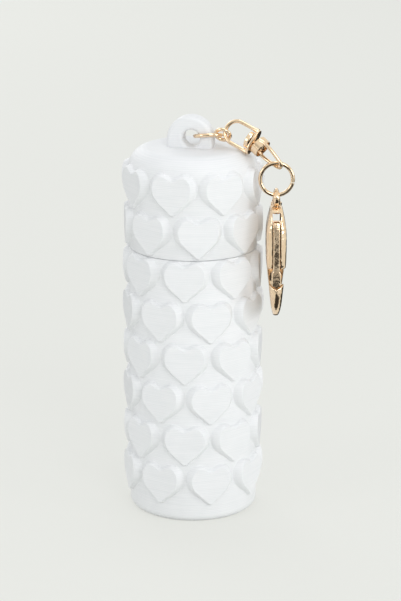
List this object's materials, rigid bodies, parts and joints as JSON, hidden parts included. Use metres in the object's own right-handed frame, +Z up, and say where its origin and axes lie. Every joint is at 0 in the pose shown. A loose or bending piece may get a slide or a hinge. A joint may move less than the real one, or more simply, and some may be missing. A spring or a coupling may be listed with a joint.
{
  "type": "lipstick case keychain",
  "caption": "Round lipstick case with a pull-off cap, both covered in raised hearts, and a gold chain with swivel, jump ring and lobster clasp.",
  "frame": {"origin": "middle of the case's flat base", "axes": "+Z up along the case, +X to the right, where the clasp hangs, and -Y toward the viewer"},
  "size_m": [0.0426, 0.0354, 0.101],
  "materials": {
    "white_print": "matte, fine printed layers",
    "pale_gold": "polished pale gold plating"
  },
  "bodies": {
    "case": {"case_body": "white_print"},
    "cap": {"cap": "white_print"},
    "link_1": {"chain_link_1": "pale_gold"},
    "link_2": {"chain_link_2": "pale_gold"},
    "front_loop": {"swivel_front_loop": "pale_gold", "swivel_rivet": "pale_gold"},
    "rear_loop": {"swivel_rear_loop": "pale_gold"},
    "ring": {"jump_ring": "pale_gold"},
    "eye": {"clasp_eye": "pale_gold"},
    "clasp": {"clasp_body": "pale_gold", "clasp_lever_pin": "pale_gold", "clasp_spring": "pale_gold"},
    "lever": {"clasp_lever": "pale_gold"}
  },
  "joints": [
    {"name": "cap_lift", "type": "slide", "parent": "case", "child": "cap", "axis": [0, 0, 1], "range_m": [0, 0.02]},
    {"name": "link_1_swing", "type": "hinge", "parent": "cap", "child": "link_1", "pos_m": [-0.0001, 0.00002, 0.0956], "axis": [-0.2164, -0.9763, 0], "range_deg": [0, 60]},
    {"name": "link_2_swing", "type": "hinge", "parent": "link_1", "child": "link_2", "pos_m": [0.00708, -0.00157, 0.09644], "axis": [-0.2312, -0.9487, 0.2155], "range_deg": [0, 12]},
    {"name": "front_loop_swing", "type": "hinge", "parent": "link_2", "child": "front_loop", "pos_m": [0.00881, -0.00348, 0.09731], "axis": [-0.5367, -0.3194, 0.781], "range_deg": [0, 20]},
    {"name": "swivel_turn", "type": "hinge", "parent": "front_loop", "child": "rear_loop", "pos_m": [0.01473, -0.00572, 0.09554], "axis": [0.8207, -0.4272, -0.3795], "range_deg": [0, 210]},
    {"name": "ring_swing", "type": "hinge", "parent": "rear_loop", "child": "ring", "pos_m": [0.02136, -0.01003, 0.09043], "axis": [0.1654, -0.6613, 0.7317], "range_deg": [0, 25]},
    {"name": "eye_swing", "type": "hinge", "parent": "ring", "child": "eye", "pos_m": [0.02038, -0.00904, 0.08305], "axis": [1, 0, 0], "range_deg": [-60, 15]},
    {"name": "clasp_turn", "type": "hinge", "parent": "eye", "child": "clasp", "pos_m": [0.02038, -0.00904, 0.08015], "axis": [0, 0, 1], "range_deg": [-40, 10]},
    {"name": "lever_press", "type": "hinge", "parent": "clasp", "child": "lever", "pos_m": [0.02038, -0.01214, 0.06755], "axis": [1, 0, 0], "range_deg": [0, 20], "stiffness_Nm_per_rad": 0.0008, "springref_deg": -20.05}
  ]
}
